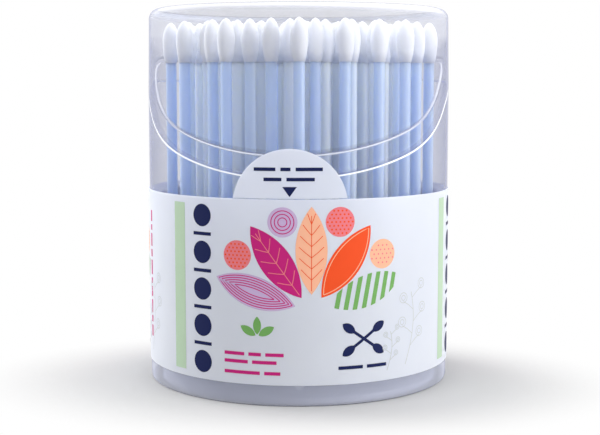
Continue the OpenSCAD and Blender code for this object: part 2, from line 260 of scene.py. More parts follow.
def groove_bulge(turn, z):
    """How deep the groove for the bead is in the lid."""
    flank = (BEAD_HALF_H + GROOVE_ROOM - abs(z - BEAD_Z)) / GROOVE_ROOM
    return GROOVE_DEPTH * on_front_arc(turn, BEAD_HALF_ARC + math.radians(2)) * min(max(flank, 0), 1)


def tip_radius(t):
    """Radius of the cotton at the share t of its length: a tall arch, then a taper to a skirt."""
    if t < BELLY:
        return TIP_D / 2 * math.sin(math.pi / 2 * t / BELLY) ** 0.5
    return TIP_D / 2 - (TIP_D / 2 - STICK_D / 2 - SKIRT_T) * ((t - BELLY) / (1 - BELLY)) ** 2


# Mesh tools


def finished(name, mesh, material, body, replaced=(), smooth_angle=35):
    """Puts a mesh, in millimetres, into the scene as a piece that rides on a body."""
    mesh.transform(Matrix.Scale(MM, 4))
    mesh.materials.clear()
    mesh.materials.append(material)
    mesh.polygons.foreach_set("use_smooth", [True] * len(mesh.polygons))
    mesh.set_sharp_from_angle(angle=math.radians(smooth_angle))
    piece = bpy.data.objects.new(name, mesh)
    bpy.context.scene.collection.objects.link(piece)
    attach(piece, body)
    if replaced:
        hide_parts(*replaced)
    return piece


def mesh_of(bm, name):
    """A mesh from welded faces that look outwards."""
    bmesh.ops.remove_doubles(bm, verts=bm.verts, dist=1e-5)
    bmesh.ops.recalc_face_normals(bm, faces=bm.faces)
    mesh = bpy.data.meshes.new(name)
    bm.to_mesh(mesh)
    bm.free()
    return mesh


class Ring:
    """One ring of a turned or swept wall, whose point gives its (radius, height) for a turn.

    Its look has five shares, each a number or a rule for the turn: painted light, a white highlight
    along an edge or a glow, painted shade in the dark lines beside edges and round the foot, inner
    inside the moulding, dense where the plastic is thick, and thin where it has no haze."""

    def __init__(self, point):
        self.point = point
        self.look = dict.fromkeys(LOOKS, 0.0)


def looking(rings, **look):
    """Gives rings a look and returns them."""
    for ring in rings:
        ring.look.update(look)
    return rings


def add_rings(bm, rings, columns, closed=False):
    """Skins rings round the axis. A radius of 0 is a pole; closed joins the last ring to the first."""
    layers = {name: bm.verts.layers.float.new(name) for name in rings[0].look}
    rows = []
    for ring in rings:
        row = []
        for i in range(columns):
            turn = 2 * math.pi * i / columns
            radius, z = ring.point(turn)
            corner = bm.verts.new((radius * math.sin(turn), -radius * math.cos(turn), z))
            for name, layer in layers.items():
                value = ring.look[name]
                corner[layer] = value(turn) if callable(value) else value
            row.append(corner)
            if radius == 0:
                row *= columns
                break
        rows.append(row)
    pairs = list(zip(rows, rows[1:])) + ([(rows[-1], rows[0])] if closed else [])
    for low, high in pairs:
        for i in range(columns):
            k = (i + 1) % columns
            corners = list(dict.fromkeys((low[i], low[k], high[k], high[i])))
            bm.faces.new(corners)


def plain(radius, z):
    """A level ring."""
    return Ring(lambda turn: (radius, z))


def bend(centre_r, centre_z, radius, start, end, steps):
    """Rings of a level bend whose cross section is an arc between two angles in degrees."""
    angles = [math.radians(start + (end - start) * i / steps) for i in range(steps + 1)]
    return [plain(centre_r + radius * math.cos(a), centre_z + radius * math.sin(a)) for a in angles]


def swept_edge(radius, height, offset_r, offset_z):
    """A ring beside a swept edge, whose height(radius, turn) is moved by the offsets."""
    return Ring(lambda turn: (radius + offset_r, height(radius, turn) + offset_z))


def soft_corner(radius, height, inward, down, soft=EDGE_SOFT):
    """Three rings that soften a swept edge. Inward and down say on which sides the solid lies."""
    return [
        swept_edge(radius, height, 0, down * soft),
        swept_edge(radius, height, inward * SOFT_INSET * soft, down * SOFT_INSET * soft),
        swept_edge(radius, height, inward * soft, 0),
    ]


def between(radius, low, high, steps, bulge=lambda turn, z: 0):
    """Rings up a wall between two swept heights, with a bulge added to the radius."""

    def ring(share):
        def point(turn):
            z = low(radius, turn) * (1 - share) + high(radius, turn) * share
            return (radius + bulge(turn, z), z)

        return Ring(point)

    return [ring((i + 1) / (steps + 1)) for i in range(steps)]


def add_plate(bm, outline, low_x, high_x):
    """Adds a plate of that (y, z) outline between two x planes, its edges bevelled."""
    part = bmesh.new()
    face = part.faces.new([part.verts.new((low_x, y, z)) for y, z in outline])
    grown = bmesh.ops.extrude_face_region(part, geom=[face])
    moved = [v for v in grown["geom"] if isinstance(v, bmesh.types.BMVert)]
    bmesh.ops.translate(part, verts=moved, vec=(high_x - low_x, 0, 0))
    bmesh.ops.recalc_face_normals(part, faces=part.faces)
    rim = [e for e in part.edges if abs(e.verts[0].co.x - e.verts[1].co.x) < 1e-6]
    bmesh.ops.bevel(part, geom=rim, offset=PLATE_BEVEL, segments=2, affect="EDGES", profile=0.5)
    copies = {v: bm.verts.new(v.co) for v in part.verts}
    for f in part.faces:
        bm.faces.new([copies[v] for v in f.verts])
    part.free()


def round_part(centre, radius, start, end, steps):
    """Points of an arc in a (y, z) outline, angles in degrees."""
    angles = [math.radians(start + (end - start) * i / steps) for i in range(steps + 1)]
    return [(centre[0] + radius * math.cos(a), centre[1] + radius * math.sin(a)) for a in angles]


# Tub and lid


def tub_mesh():
    """The tub, ring by ring from under its foot, up over the neck and down to its floor, with ears."""
    neck_out = BODY_R - WALL - NECK_GAP
    neck_in = neck_out - NECK_T
    inner = BODY_R - WALL
    foot_in = BODY_R - FOOT_ROUND - FOOT_W
    under = FLOOR_TOP - FLOOR_T
    floor_curve = FLOOR_TOP + FLOOR_ROUND

    def shelf(radius, turn):
        return seam_at(radius, turn) - SHOULDER_H

    # Underside, foot and thick lower corner
    base = [plain(0, under), plain(foot_in - 0.3, under), plain(foot_in - 0.08, under - 0.08)]
    base += [plain(foot_in, under - 0.3), plain(foot_in, 0.12), plain(foot_in + 0.12, 0)]
    base += bend(BODY_R - FOOT_ROUND, FOOT_ROUND, FOOT_ROUND, -90, 0, 5)
    base += [plain(BODY_R, FLOOR_TOP)]
    rings = looking(base, dense=1)
    # Painted shade along the foot's lower edge, where it stands on the floor
    looking(rings[5:9], gloom=1)
    rings += looking([plain(BODY_R, LABEL_LOW + 0.1)], dense=1)

    # Wall behind the film, wall above it, and shoulder
    behind_film = [plain(BODY_R, LABEL_LOW + 0.3), plain(BODY_R, LABEL_HIGH - 0.3)]
    # Painted light: a white veil on the wall behind the film, in place of light coming through the film
    # at the back
    rings += looking(behind_film, gleam=0.35, thin=1)
    rings += [plain(BODY_R, LABEL_HIGH - 0.1)]
    rings += between(BODY_R, lambda r, t: LABEL_HIGH, seam_at, 4)
    rings += [swept_edge(BODY_R, seam_at, 0, -0.32)]
    # Painted highlight along the shoulder's softened edge
    rings += looking(soft_corner(BODY_R, seam_at, -1, -1), gleam=1)
    rings += [swept_edge(BODY_R, seam_at, -0.34, 0), swept_edge(neck_out, seam_at, 0.12, 0)]

    # Neck with its bead and brim, then down inside
    inside = [swept_edge(neck_out, seam_at, 0, 0.12)]
    inside += between(neck_out, seam_at, neck_edge_at, 18, bead_bulge)
    brim = soft_corner(neck_out, neck_edge_at, -1, -1)
    # Painted highlight along the neck's brim
    inside += looking(brim[:1], gleam=0.5) + looking(brim[1:], gleam=1)
    inside += looking([swept_edge(neck_out, neck_edge_at, -0.4, 0)], gleam=0.8)
    inside += reversed(soft_corner(neck_in, neck_edge_at, 1, -1))
    inside += between(neck_in, neck_edge_at, shelf, 4)
    inside += [swept_edge(neck_in, shelf, 0, 0.1), swept_edge(neck_in, shelf, 0.1, 0)]
    inside += [swept_edge(inner, shelf, 0, 0)]
    inside += between(inner, shelf, lambda r, t: floor_curve + 0.6, 4)
    inside += bend(inner - FLOOR_ROUND, floor_curve, FLOOR_ROUND, 0, -90, 6)
    inside += looking([plain(0, FLOOR_TOP)], dense=1)
    rings += looking(inside, inner=1)

    bm = bmesh.new()
    add_rings(bm, rings, COLUMNS)
    root = BODY_R - WALL / 2
    ear = [(root, HINGE_Z - EAR_ROOT_H), *round_part((HINGE_Y, HINGE_Z), EAR_R, 0, 180, 14)]
    ear += [(HINGE_Y - EAR_R, HINGE_Z - SEAM_GAP), (root, HINGE_Z - SEAM_GAP)]
    for side in (-1, 1):
        near = side * (KNUCKLE_LEN / 2 + EAR_GAP)
        add_plate(bm, ear, *sorted((near, near + side * EAR_T)))
    return mesh_of(bm, "tub_moulding")


def lid_mesh():
    """The lid, ring by ring from its top down to the hem and up inside to its roof, with knuckle."""
    inner = BODY_R - WALL
    top_r = BODY_R - LID_DRAFT
    roof = TOTAL_H - LID_TOP_T
    shoulder_z = TOTAL_H - LID_ROUND
    inner_round = LID_ROUND - WALL
    step_z = HINGE_Z + NECK_H + 1

    def rim(radius, turn):
        return seam_at(radius, turn) + SEAM_GAP

    def skirt(share):
        def point(turn):
            z = shoulder_z * (1 - share) + (rim(BODY_R, turn) + 0.6) * share
            return (top_r + LID_DRAFT * share, z)

        return Ring(point)

    def over_neck(radius, turn):
        return neck_edge_at(radius, turn) + 0.05

    def past_neck(radius, turn):
        return min(neck_edge_at(radius, turn) + 1.5, step_z - 0.1)

    def aside(low, high):
        """A look that is weakest a little left of the front and strongest at the sides: painted
        highlight that follows how the lamps light the lid.
        """
        return lambda turn: low + (high - low) * math.sin(turn + 0.25) ** 2

    # Top, rounded corner, skirt and hem
    rings = looking([plain(0, TOTAL_H)], thin=0.9)
    corner = looking(bend(top_r - LID_ROUND, shoulder_z, LID_ROUND, 90, 0, 10), thin=0.4)
    # Painted highlight along the rounded corner of the lid
    for ring, share in zip(corner, CORNER_HIGHLIGHT):
        looking([ring], gleam=aside(share, min(1.8 * share, 0.88)))
    # Painted shade as a dark line along the top of the corner
    looking(corner[:3], gloom=0.6)
    looking(corner[:1], thin=0.9, gloom=0.1)
    rings += corner
    rings += [skirt(i / 12) for i in range(1, 13)]
    # Fainter painted highlight on the top of the skirt
    looking(rings[-12:-9], thin=0.3, gleam=aside(0.08, 0.3))
    hem = soft_corner(BODY_R, rim, -1, 1, HEM_SOFT)
    # Painted shade in a dark line along the lid's hem
    rings += hem[:1] + looking(hem[1:], gloom=1) + [swept_edge(BODY_R, rim, -0.2, 0)]

    # Up inside, with the groove and the painted shade in dark lines above the neck's brim
    inside = list(reversed(soft_corner(inner, rim, 1, 1, HEM_SOFT)))
    inside += [swept_edge(inner, rim, 0, 0.3)]
    inside += between(inner, rim, over_neck, 16, groove_bulge)
    # Painted shade in a soft band just above the neck's brim
    for rise, gloom in ((-0.02, 0), (0.2, 0), (0.35, 0.6), (0.8, 0.35)):
        inside += looking([swept_edge(inner, over_neck, 0, rise)], gloom=gloom)
    inside += [swept_edge(inner, past_neck, 0, 0)]
    inside += between(inner, past_neck, lambda r, t: step_z, 6)
    inside += [plain(inner, step_z), plain(inner - LID_DRAFT, step_z + 0.1)]
    inside += bend(inner - LID_DRAFT - inner_round, roof - inner_round, inner_round, 0, 90, 8)
    inside += looking([plain(0, roof)], thin=0.5)
    rings += looking(inside, inner=1)

    bm = bmesh.new()
    add_rings(bm, rings, COLUMNS)
    root = BODY_R - WALL / 2
    web = [(root, HINGE_Z + 2 * SEAM_GAP), (root, HINGE_Z + WEB_H)]
    web += round_part((HINGE_Y, HINGE_Z), KNUCKLE_R, 45, -190, 18)
    web += [(HINGE_Y - KNUCKLE_R, HINGE_Z + 2 * SEAM_GAP)]
    add_plate(bm, web, -KNUCKLE_LEN / 2, KNUCKLE_LEN / 2)
    stub = KNUCKLE_LEN / 2 + EAR_GAP + EAR_T - SEAM_GAP / 2
    add_plate(bm, round_part((HINGE_Y, HINGE_Z), PIN_R, 0, 345, 23), -stub, stub)
    return mesh_of(bm, "lid_moulding")


# Label film and print


def on_film(u, z, lift):
    """The point on the film at the arc length u from the front and the height z, raised by lift."""
    turn = u / FILM_OUT
    radius = FILM_OUT - INK_BED + lift
    return (radius * math.sin(turn), -radius * math.cos(turn), z)


def label_mesh():
    """The wrapped film, with the glued lap that stands proud at the back."""
    half_lap = LAP_W / 2 / FILM_OUT

    def lap(turn):
        past = abs(math.remainder(turn - math.pi, 2 * math.pi)) - half_lap
        return FILM_T * min(max(1 - past / LAP_FADE, 0), 1)

    face = FILM_OUT - INK_BED
    section = [
        plain(FILM_IN, LABEL_LOW),
        Ring(lambda turn: (face + lap(turn) - FILM_SOFT, LABEL_LOW)),
        Ring(lambda turn: (face + lap(turn), LABEL_LOW + FILM_SOFT)),
        Ring(lambda turn: (face + lap(turn), LABEL_HIGH - FILM_SOFT)),
        Ring(lambda turn: (face + lap(turn) - FILM_SOFT, LABEL_HIGH)),
        plain(FILM_IN, LABEL_HIGH),
    ]
    bm = bmesh.new()
    add_rings(bm, section, FILM_COLUMNS, closed=True)
    return mesh_of(bm, "label_film")


def tab_mesh():
    """The peel tab: the part of a disc above the tear line, bent round the lid."""
    centre = TAB_TOP - TAB_R
    half = math.sqrt(TAB_R**2 - (TAB_LOW - centre) ** 2)
    columns, rows = 64, 12
    bm = bmesh.new()
    layers = []
    for lift in (0.0, INK_BED - FILM_T):
        grid = []
        for j in range(rows + 1):
            row = []
            for i in range(columns + 1):
                u = half * math.sin(math.pi / 2 * (2 * i / columns - 1))
                top = centre + math.sqrt(max(TAB_R**2 - u**2, 0))
                z = TAB_LOW + (max(top, TAB_LOW) - TAB_LOW) * j / rows
                row.append(bm.verts.new(on_film(u, z, lift)))
            grid.append(row)
        layers.append(grid)
    for grid in layers:
        for j in range(rows):
            for i in range(columns):
                bm.faces.new((grid[j][i], grid[j][i + 1], grid[j + 1][i + 1], grid[j + 1][i]))
    outer, inner = layers
    rim = [(0, i) for i in range(columns + 1)] + [(j, columns) for j in range(1, rows + 1)]
    rim += [(rows, i) for i in range(columns - 1, -1, -1)] + [(j, 0) for j in range(rows - 1, 0, -1)]
    for (a, b), (c, d) in zip(rim, rim[1:] + rim[:1]):
        bm.faces.new((outer[a][b], outer[c][d], inner[c][d], inner[a][b]))
    bmesh.ops.remove_doubles(bm, verts=bm.verts, dist=1e-4)
    bmesh.ops.dissolve_degenerate(bm, edges=bm.edges, dist=1e-4)
    return mesh_of(bm, "peel_tab")


class Ink:
    """Flat shapes of one colour, collected in (u, z) and laid on the film panel by panel.

    Shapes collected while over is true lie on top of other inks."""

    def __init__(self):
        self.patches = []
        self.over = False

    def grid(self, point, columns, rows):
        """A patch whose point(s, t) runs over s and t from 0 to 1."""
        patch = [[point(i / columns, j / rows) for i in range(columns + 1)] for j in range(rows + 1)]
        self.patches.append((OVER_LIFT if self.over else INK_LIFT, patch))

    def bar(self, u, z, width, height):
        """A level bar about its middle."""

        def point(s, t):
            return (u + (s - 0.5) * width, z + (t - 0.5) * height)

        self.grid(point, max(2, int(width / 0.8)), 1)

    def ring(self, u, z, inner, outer, steps):
        """A ring between two radii."""

        def point(s, t):
            r, a = inner + (outer - inner) * t, 2 * math.pi * s
            return (u + r * math.cos(a), z + r * math.sin(a))

        self.grid(point, steps, max(1, int((outer - inner) / 0.8)))

    def disc(self, u, z, diameter, steps=40):
        self.ring(u, z, 0, diameter / 2, steps)

    def dashes(self, u, z, lengths):
        """A row of dashes that starts at u."""
        for length in lengths:
            self.bar(u + length / 2, z, length, DASH_T)
            u += length + DASH_GAP

    def mesh(self, name, panels):
        """The shapes on the film, once for each panel, all facing outwards."""
        bm = bmesh.new()
        for panel in panels:
            shift = panel * PANEL_STEP * FILM_OUT
            for lift, patch in self.patches:
                rows = [[bm.verts.new(on_film(u + shift, z, lift)) for u, z in row] for row in patch]
                for low, high in zip(rows, rows[1:]):
                    for i in range(len(low) - 1):
                        bm.faces.new((low[i], low[i + 1], high[i + 1], high[i]))
        bmesh.ops.remove_doubles(bm, verts=bm.verts, dist=1e-3)
        bmesh.ops.dissolve_degenerate(bm, edges=bm.edges, dist=1e-4)
        for face in bm.faces:
            face.normal_update()
            outward = Vector((face.calc_center_median().x, face.calc_center_median().y, 0))
            if face.normal.dot(outward) < 0:
                face.normal_flip()
        mesh = bpy.data.meshes.new(name)
        bm.to_mesh(mesh)
        bm.free()
        return mesh


def turned(u, z, angle, along, aside):
    """The place that lies along and aside from (u, z), seen in a direction."""
    return (
        u + along * math.cos(angle) - aside * math.sin(angle),
        z + along * math.sin(angle) + aside * math.cos(angle),
    )


def lens_half(length, width, along):
    """Half width of a pointed oval at the distance along from its middle."""
    radius = (length**2 + width**2) / (4 * width)
    return math.sqrt(max(radius**2 - along**2, 0)) - radius + width / 2


def lens(ink, u, z, angle, length, width, columns=24, rows=6):
    """A pointed oval."""

    def point(s, t):
        along = (s - 0.5) * length
        half = max(lens_half(length, width, along), 0)
        return turned(u, z, angle, along, (2 * t - 1) * half)

    ink.grid(point, columns, rows)


def petal_middle(i):
    """Middle and angle of a petal of the fan."""
    angle = PETAL_FIRST - i * PETAL_TURN
    return (*turned(FAN_U, FAN_V, angle, PETAL_START + PETAL_LEN / 2, 0), angle)


def dot_middle(i):
    """Middle of a dot between two petals."""
    angle = PETAL_FIRST - (i + 0.5) * PETAL_TURN
    return turned(FAN_U, FAN_V, angle, PETAL_START + 0.875 * PETAL_LEN, 0)


def striped_lens(ink, u, z, angle, length, width, stripes):
    """Slanting stripes that fill a pointed oval."""
    step = length / (stripes + 1)
    slant = 0.55

    def edge_along(start, t):
        along = start
        for _ in range(8):
            along = start + slant * (2 * t - 1) * lens_half(length, width, along)
        return along

    for k in range(1, stripes + 1):
        low, high = k * step - length / 2 - step / 4, k * step - length / 2 + step / 4

        def point(s, t):
            along = edge_along(low + (high - low) * s, t)
            return turned(u, z, angle, along, (2 * t - 1) * lens_half(length, width, along))

        ink.grid(point, 2, 6)


def stroke(ink, points, width):
    """A thin line through points, drawn as one bent ribbon."""

    def point(s, t):
        place = s * (len(points) - 1)
        k = min(int(place), len(points) - 2)
        (au, az), (bu, bz) = points[k], points[k + 1]
        run = math.hypot(bu - au, bz - az) or 1
        share = place - k
        off = (t - 0.5) * width
        across_u, across_z = -(bz - az) / run * off, (bu - au) / run * off
        return (au + (bu - au) * share + across_u, az + (bz - az) * share + across_z)

    ink.grid(point, len(points) - 1, 1)


def lens_outline(ink, u, z, angle, length, width, line, inset):
    """A thin line that runs round inside a pointed oval."""
    radius = (length**2 + width**2) / (4 * width)
    reach = math.sqrt(radius**2 - (radius - width / 2 + inset) ** 2)
    sides = []
    for side in (1, -1):
        for i in range(15):
            along = reach * (2 * i / 15 - 1) * side
            aside = side * max(lens_half(length, width, along) - inset, 0)
            sides.append(turned(u, z, angle, along, aside))
    stroke(ink, sides + sides[:1], line)


def lens_veins(ink, u, z, angle, length, width, count, line):
    """Fine veins that spring from the middle line of a petal."""
    stroke(ink, [turned(u, z, angle, (a / 14 - 0.46) * length, 0) for a in range(13)], line)
    for i in range(count):
        start = (i + 0.5) / count - 0.52
        for side in (-1, 1):
            along = start * length * 0.76
            reach = 0.78 * lens_half(length, width, along + 0.12 * length)
            points = [(0, 0), (0.05 * length, 0.45 * reach), (0.12 * length, reach)]
            stroke(ink, [turned(u, z, angle, along + a, side * b) for a, b in points], line)


def dotted(ink, u, z, diameter, dot, step):
    """Small dots in offset rows that fill a round spot."""
    rows = int(diameter / step / 0.87)
    for j in range(-rows, rows + 1):
        for i in range(-rows, rows + 1):
            du, dz = (i + 0.5 * (j % 2)) * step, j * step * 0.87
            if math.hypot(du, dz) + dot / 2 < diameter / 2 - 0.15:
                ink.disc(u + du, z + dz, dot, 8)


def sprig_line(ink, u, z, height):
    """A faint drawn branch with a few round buds, in thin lines."""
    shares = [i / 12 for i in range(13)]
    stem = [(u + 0.16 * height * math.sin(2.4 * t), z + height * t) for t in shares]
    stroke(ink, stem, LINE_W)
    for k, side in ((3, 1), (5, -1), (7, 1), (9, -1), (11, 1)):
        su, sz = stem[k]
        tu, tz = su + side * 0.20 * height, sz + 0.13 * height
        twig = [(su, sz), ((su + tu) / 2, (sz + tz) / 2 + 0.01 * height), (tu, tz)]
        stroke(ink, twig, FINE_LINE_W)
        for radius in (0.075 * height, 0.04 * height):
            ink.ring(tu, tz + 0.05 * height, radius - FINE_LINE_W, radius, 20)


def swab_sign(ink, u, z, angle, length):
    """A plain sign of one swab."""
    oval_w = length / 6
    oval_len = 1.8 * oval_w

    def stick(s, t):
        return turned(u, z, angle, (s - 0.5) * (length - oval_w), (t - 0.5) * oval_w / 3)

    ink.grid(stick, 8, 1)
    for side in (-1, 1):
        end = turned(u, z, angle, side * (length - 0.9 * oval_len) / 2, 0)
        lens(ink, *end, angle, oval_len, oval_w, 12, 4)


def panel_inks():
    """The inks of one printed panel."""
    inks = {name: Ink() for name in INKS}
    inks["pale_green"].bar(BAR_U, (PRINT_LOW + PRINT_HIGH) / 2, BAR_W, PRINT_HIGH - PRINT_LOW)
    navy = inks["navy"]
    step = (PRINT_HIGH - PRINT_LOW - COLUMN_W) / (BEADS - 1)
    for i in range(BEADS):
        z = PRINT_LOW + COLUMN_W / 2 + i * step
        navy.disc(COLUMN_U, z, COLUMN_W)
        if i < BEADS - 1:
            navy.bar(COLUMN_U, z + step / 2, COLUMN_W, DASH_T)
    sign_u = FAN_U + SIGN_LEN
    for angle in (35, -35):
        swab_sign(navy, sign_u, FAN_V - 6, math.radians(angle), SIGN_LEN)
    navy.dashes(sign_u - SIGN_LEN / 2, PRINT_LOW + ROW_STEP, [0.48 * SIGN_LEN, 0.42 * SIGN_LEN])
    magenta = inks["magenta"]
    rows_u = FAN_U - 1.65 * SIGN_LEN
    for row, shares in ((2.4, (0.4, 0.24, 0.34)), (1.6, (0.47, 0.46)), (0.5, (0.7, 0.3))):
        magenta.dashes(rows_u, PRINT_LOW + row * ROW_STEP, [share * SIGN_LEN for share in shares])
    for i, name in enumerate(("lilac", "magenta", "peach", "orange")):
        lens(inks[name], *petal_middle(i), PETAL_LEN, PETAL_W)
    striped_lens(inks["green"], *petal_middle(4), PETAL_LEN, PETAL_W, 7)
    for i, name in enumerate(("pink", "lilac", "pink", "peach")):
        inks[name].disc(*dot_middle(i), DOT_D)
    leaf = SIGN_LEN / 3
    for turn in (30, 90, 150):
        angle = math.radians(turn)
        middle = turned(FAN_U - SIGN_LEN, FAN_V - 5.2, angle, 0.6 * leaf, 0)
        lens(inks["green"], *middle, angle, leaf, 0.45 * leaf, 12, 4)
    fine_lines(inks)
    return inks


def fine_lines(inks):
    """The finer lines and spots that lie over the petals and dots."""
    for ink in inks.values():
        ink.over = True
    for k in range(1, 6):
        lens_outline(inks["magenta"], *petal_middle(0), PETAL_LEN, PETAL_W, BOLD_LINE_W, 0.5 * k)
    lens_veins(inks["pink"], *petal_middle(1), PETAL_LEN, PETAL_W, 5, LINE_W)
    lens_veins(inks["orange"], *petal_middle(2), PETAL_LEN, PETAL_W, 6, FINE_LINE_W)
    lens_outline(inks["peach"], *petal_middle(3), PETAL_LEN, PETAL_W, LINE_W, 0.55)
    for i in (0, 2):
        dotted(inks["orange"], *dot_middle(i), DOT_D, 0.42, 0.86)
    for radius in (0.8, 1.5, 2.2):
        inks["magenta"].ring(*dot_middle(1), radius, radius + BOLD_LINE_W, 32)
    dotted(inks["pink"], *dot_middle(3), DOT_D, 0.4, 1.0)


def faint_ink():
    """The faint drawn branches beside the fan."""
    ink = Ink()
    sprig_line(ink, FAN_U + 21.5, PRINT_LOW + 1.2, 15)
    sprig_line(ink, FAN_U + 16.5, PRINT_LOW + 0.6, 8)
    return ink


def margin_ink():
    """Short marks that run up the film towards its left side."""
    ink = Ink()
    u, z = MARGIN_TURN * FILM_OUT, PRINT_HIGH - 3.0
    for length in MARGIN_MARKS:
        ink.bar(u, z - length / 2, MARGIN_W, length)
        z -= length + MARGIN_GAP
    return ink


def tab_ink():
    """Two rows of dashes and an arrowhead on the peel tab."""
    ink = Ink()
    row_z = (TAB_LOW + TAB_TOP) / 2
    for start, rise, length in TAB_DASHES:
        ink.bar(start + length / 2, row_z + rise, length, DASH_T)
    ink.grid(lambda s, t: ((s - 0.5) * 2.9 * t, TAB_LOW + DASH_T / 2 + 2 * t), 4, 4)
    return ink


# Materials


def new_material(name):
    """A material with its tree and its one surface node."""
    material = bpy.data.materials.new(name)
    material.use_nodes = True
    tree = material.node_tree
    return material, tree, tree.nodes["Principled BSDF"]


def noise(tree, scale, detail, stretch=(1, 1, 1)):
    """A noise pattern on the object's own coordinates."""
    place = tree.nodes.new("ShaderNodeTexCoord")
    mapping = tree.nodes.new("ShaderNodeMapping")
    mapping.inputs["Scale"].default_value = stretch
    texture = tree.nodes.new("ShaderNodeTexNoise")
    texture.inputs["Scale"].default_value = scale
    texture.inputs["Detail"].default_value = detail
    tree.links.new(place.outputs["Object"], mapping.inputs["Vector"])
    tree.links.new(mapping.outputs["Vector"], texture.inputs["Vector"])
    return texture.outputs["Fac"]


def remapped(tree, source, low, high):
    """A share turned into a value between low and high."""
    node = tree.nodes.new("ShaderNodeMapRange")
    node.inputs["To Min"].default_value = low
    node.inputs["To Max"].default_value = high
    tree.links.new(source, node.inputs["Value"])
    return node.outputs["Result"]


def ramp(tree, source, start, end, kind="SMOOTHSTEP"):
    """A share that goes from 0 to 1 while the source goes from start to end."""
    node = tree.nodes.new("ShaderNodeMapRange")
    node.interpolation_type = kind
    node.inputs["From Min"].default_value = start
    node.inputs["From Max"].default_value = end
    tree.links.new(source, node.inputs["Value"])
    return node.outputs["Result"]


def tinted(tree, source, dark, light):
    """A mix of two colours by a share."""
    node = tree.nodes.new("ShaderNodeMix")
    node.data_type = "RGBA"
    node.inputs[6].default_value = (*dark, 1)
    node.inputs[7].default_value = (*light, 1)
    tree.links.new(source, node.inputs[0])
    return node.outputs[2]


def bumped(tree, source, strength, distance):
    """Surface directions of a fine relief, whose depth is in millimetres."""
    node = tree.nodes.new("ShaderNodeBump")
    node.inputs["Strength"].default_value = strength
    node.inputs["Distance"].default_value = distance * MM
    tree.links.new(source, node.inputs["Height"])
    return node.outputs["Normal"]


def look(tree, name):
    """A share of a moulding's look, as its mesh carries it."""
    node = tree.nodes.new("ShaderNodeAttribute")
    node.attribute_name = name
    return node.outputs["Fac"]


def maths(tree, operation, *values):
    """The result of one step of maths on numbers or sockets."""
    node = tree.nodes.new("ShaderNodeMath")
    node.operation = operation
    for i, value in enumerate(values):
        if isinstance(value, bpy.types.NodeSocket):
            tree.links.new(value, node.inputs[i])
        else:
            node.inputs[i].default_value = value
    return node.outputs[0]


def layered(tree, below, share, colour):
    """A colour laid over another by a share."""
    node = tree.nodes.new("ShaderNodeMix")
    node.data_type = "RGBA"
    tree.links.new(share, node.inputs[0])
    tree.links.new(below, node.inputs[6])
    node.inputs[7].default_value = (*colour, 1)
    return node.outputs[2]


def distance(tree, scale, shift=(0, 0, 0)):
    """How far a point is from the origin, with space first stretched or flattened, then shifted."""
    place = tree.nodes.new("ShaderNodeTexCoord")
    stretched = tree.nodes.new("ShaderNodeVectorMath")
    stretched.operation = "MULTIPLY_ADD"
    stretched.inputs[1].default_value = scale
    stretched.inputs[2].default_value = shift
    length = tree.nodes.new("ShaderNodeVectorMath")
    length.operation = "LENGTH"
    tree.links.new(place.outputs["Object"], stretched.inputs[0])
    tree.links.new(stretched.outputs["Vector"], length.inputs[0])
    return length.outputs["Value"]


def softly_lit(skin, weight, radius):
    """Lets light soak into a surface, by a radius in millimetres for each colour."""
    skin.inputs["Subsurface Weight"].default_value = weight
    skin.inputs["Subsurface Radius"].default_value = radius
    skin.inputs["Subsurface Scale"].default_value = MM


def clear_plastic():
    """Clear polypropylene with a faint lavender haze, with painted white highlights along its moulded
    edges and painted shade in dark lines beside them.
    """
    material, tree, skin = new_material("clear_polypropylene")
    haze = noise(tree, 60, 3, (1, 1, 0.35))
    gleam, gloom, inner, dense, thin = (look(tree, name) for name in LOOKS)
    tint = layered(tree, tinted(tree, haze, *CLEAR_TINTS), dense, THICK_TINT)
    tree.links.new(remapped(tree, haze, 0.16, 0.26), skin.inputs["Roughness"])
    facing = tree.nodes.new("ShaderNodeLayerWeight")
    facing.inputs["Blend"].default_value = 0.25
    edge_on = maths(tree, "POWER", facing.outputs["Facing"], 2.5)
    outline = ramp(tree, facing.outputs["Facing"], 0.52, 0.74)
    # Painted shade: the thick plastic darkens towards its outline
    tint = layered(tree, tint, maths(tree, "MULTIPLY", dense, outline), THICK_OUTLINE_SHADE_TINT)
    # Painted shade in the dark lines beside the edges
    tint = layered(tree, tint, gloom, PAINTED_SHADE_TINT)
    # Painted highlight in white, faded out towards the outline
    gleam = maths(tree, "MULTIPLY", gleam, maths(tree, "SUBTRACT", 1.0, outline))
    tree.links.new(layered(tree, tint, gleam, PAINTED_LIGHT_WHITE), skin.inputs["Base Color"])

    # A faint veil that grows towards the outline on the outer faces, with the thick plastic, the
    # painted shade and the painted highlights laid firmer over it
    outer = maths(tree, "SUBTRACT", 1.0, inner)
    veil = maths(tree, "MULTIPLY_ADD", edge_on, 2.0, maths(tree, "MULTIPLY", outline, 0.42))
    veil = maths(tree, "MULTIPLY_ADD", veil, maths(tree, "SUBTRACT", 1.0, thin), 0.15)
    veil = maths(tree, "MULTIPLY_ADD", veil, outer, 0.04)
    for mark, strength in ((dense, 0.45), (gloom, 0.75), (gleam, 0.95)):
        veil = maths(tree, "MAXIMUM", veil, maths(tree, "MULTIPLY", mark, strength))
    veil = maths(tree, "MINIMUM", veil, 0.95)
    tree.links.new(veil, skin.inputs["Alpha"])
    skin.inputs["IOR"].default_value = 1.49
    skin.inputs["Specular IOR Level"].default_value = 0.3
    return material


